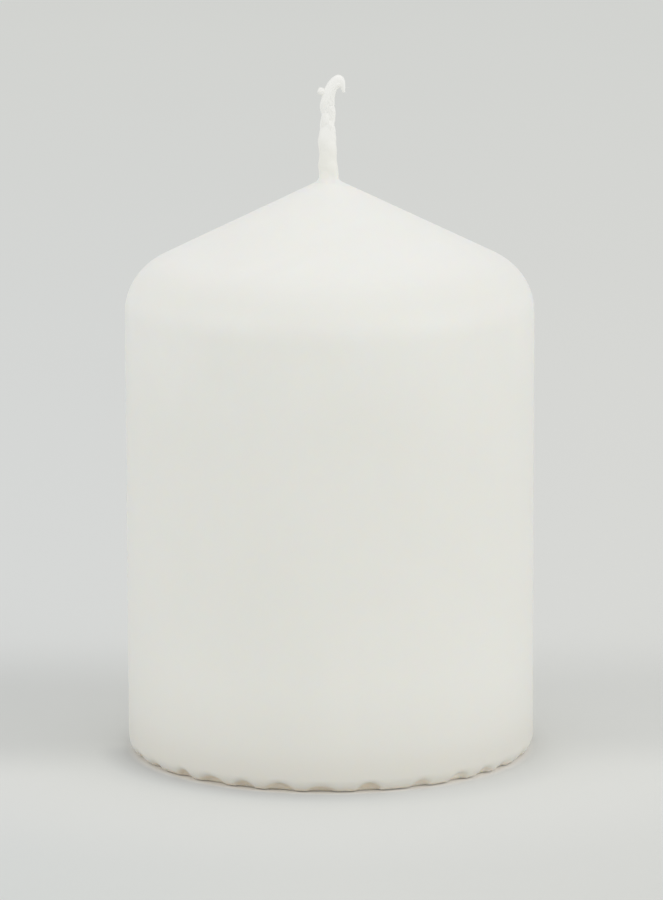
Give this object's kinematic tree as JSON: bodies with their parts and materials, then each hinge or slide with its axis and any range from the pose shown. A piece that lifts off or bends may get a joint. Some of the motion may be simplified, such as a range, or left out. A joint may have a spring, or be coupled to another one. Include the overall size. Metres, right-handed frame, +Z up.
{
  "type": "pillar candle",
  "caption": "White wax pillar candle with a coned top, a rounded shoulder, a scalloped bottom edge and a short braided cotton wick that hooks over at its tip.",
  "frame": {"origin": "centre of the base, on the surface that the candle stands on", "axes": "+Z up along the candle's axis; the wick's tip hooks towards +X; the pictured side faces -Y"},
  "size_m": [0.07, 0.07, 0.117],
  "materials": {
    "core_wax": "pressed paraffin wax, matt and slightly granular",
    "dip_wax": "dipped paraffin wax, smooth with a satin sheen",
    "waxed_cotton": "plaited cotton yarn soaked in wax",
    "tinplate": "thin stamped tinplate"
  },
  "bodies": {
    "root": {"pressed_wax_core": "core_wax", "overdip_coat": "dip_wax", "wick_plait_left": "waxed_cotton", "wick_plait_back": "waxed_cotton", "wick_plait_front": "waxed_cotton", "wick_sustainer": "tinplate"}
  },
  "joints": []
}
